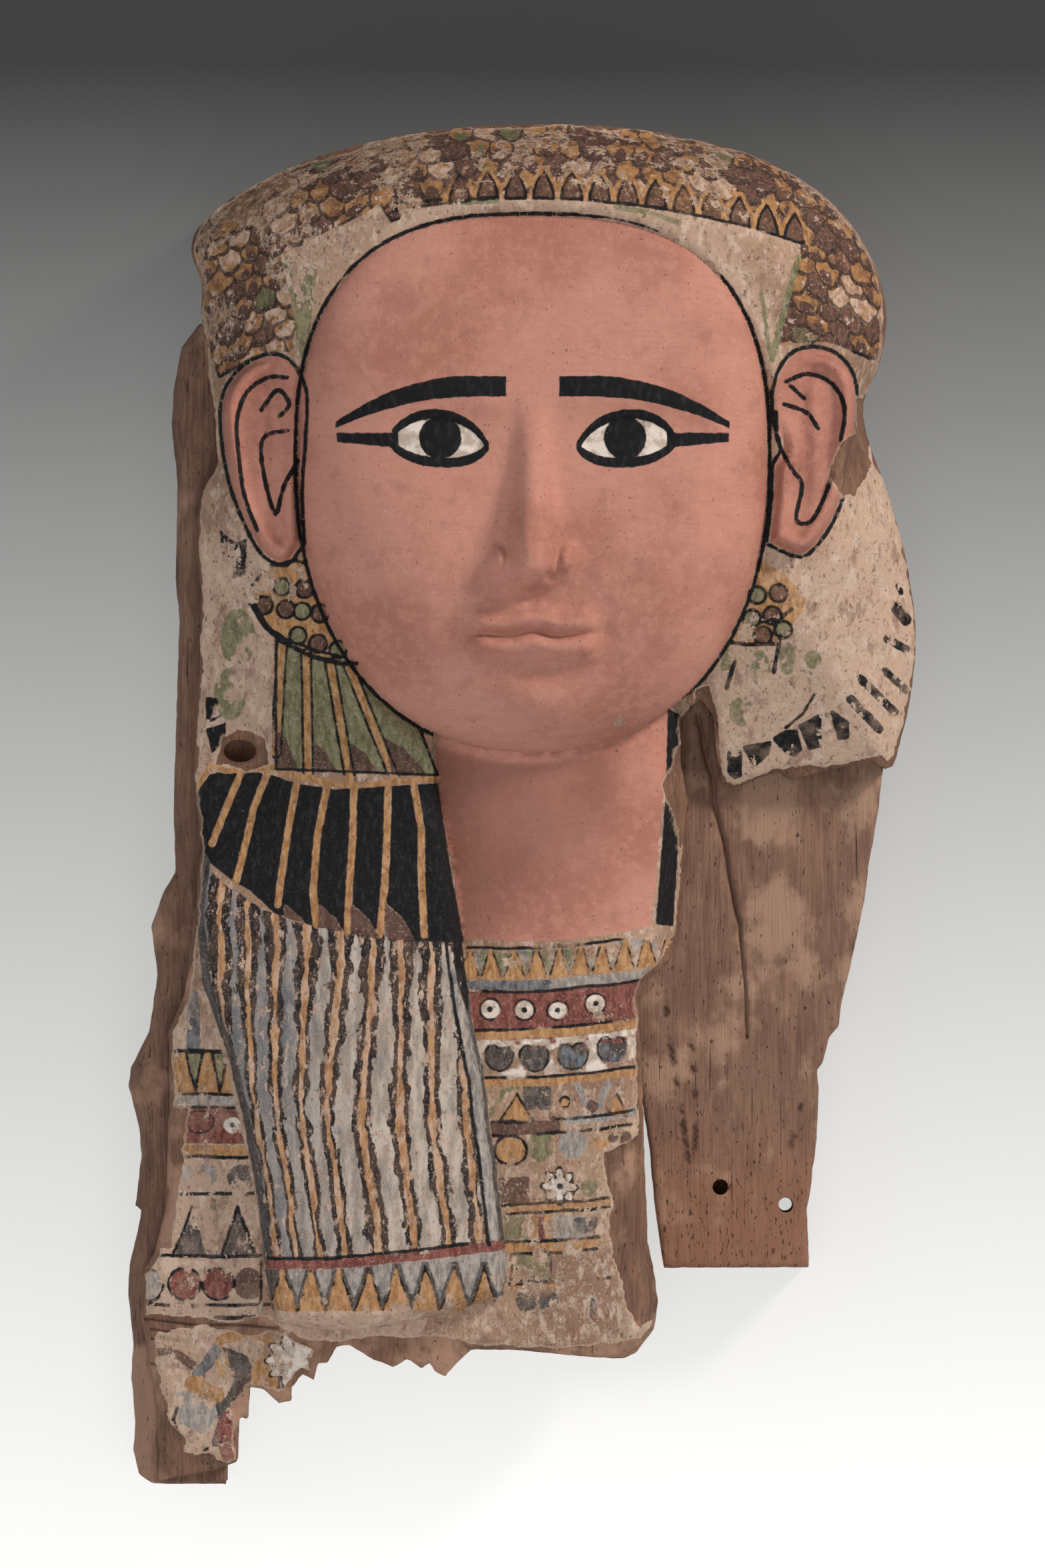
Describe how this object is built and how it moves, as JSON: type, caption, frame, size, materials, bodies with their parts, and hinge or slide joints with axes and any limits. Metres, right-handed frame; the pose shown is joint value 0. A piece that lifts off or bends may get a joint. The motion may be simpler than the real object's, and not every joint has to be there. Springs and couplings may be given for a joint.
{
  "type": "egyptian sarcophagus mask",
  "caption": "Head and breast of a painted wooden coffin lid: carved wig, face, ears, neck and one lappet, with a bare side board, lying on its back.",
  "frame": {"origin": "middle of the underside's bounding box, on the ground the mask lies on", "axes": "+Z out of the face, +Y to the crown of the wig, +X to the viewer's right"},
  "size_m": [0.3927, 0.675, 0.1712],
  "materials": {
    "painted_gesso": "wood under flaked and painted gesso, matt",
    "bare_wood": "bare, dry and weathered"
  },
  "bodies": {
    "root": {"carved_mask": "painted_gesso", "left_plank": "bare_wood", "right_board": "bare_wood"}
  },
  "joints": []
}
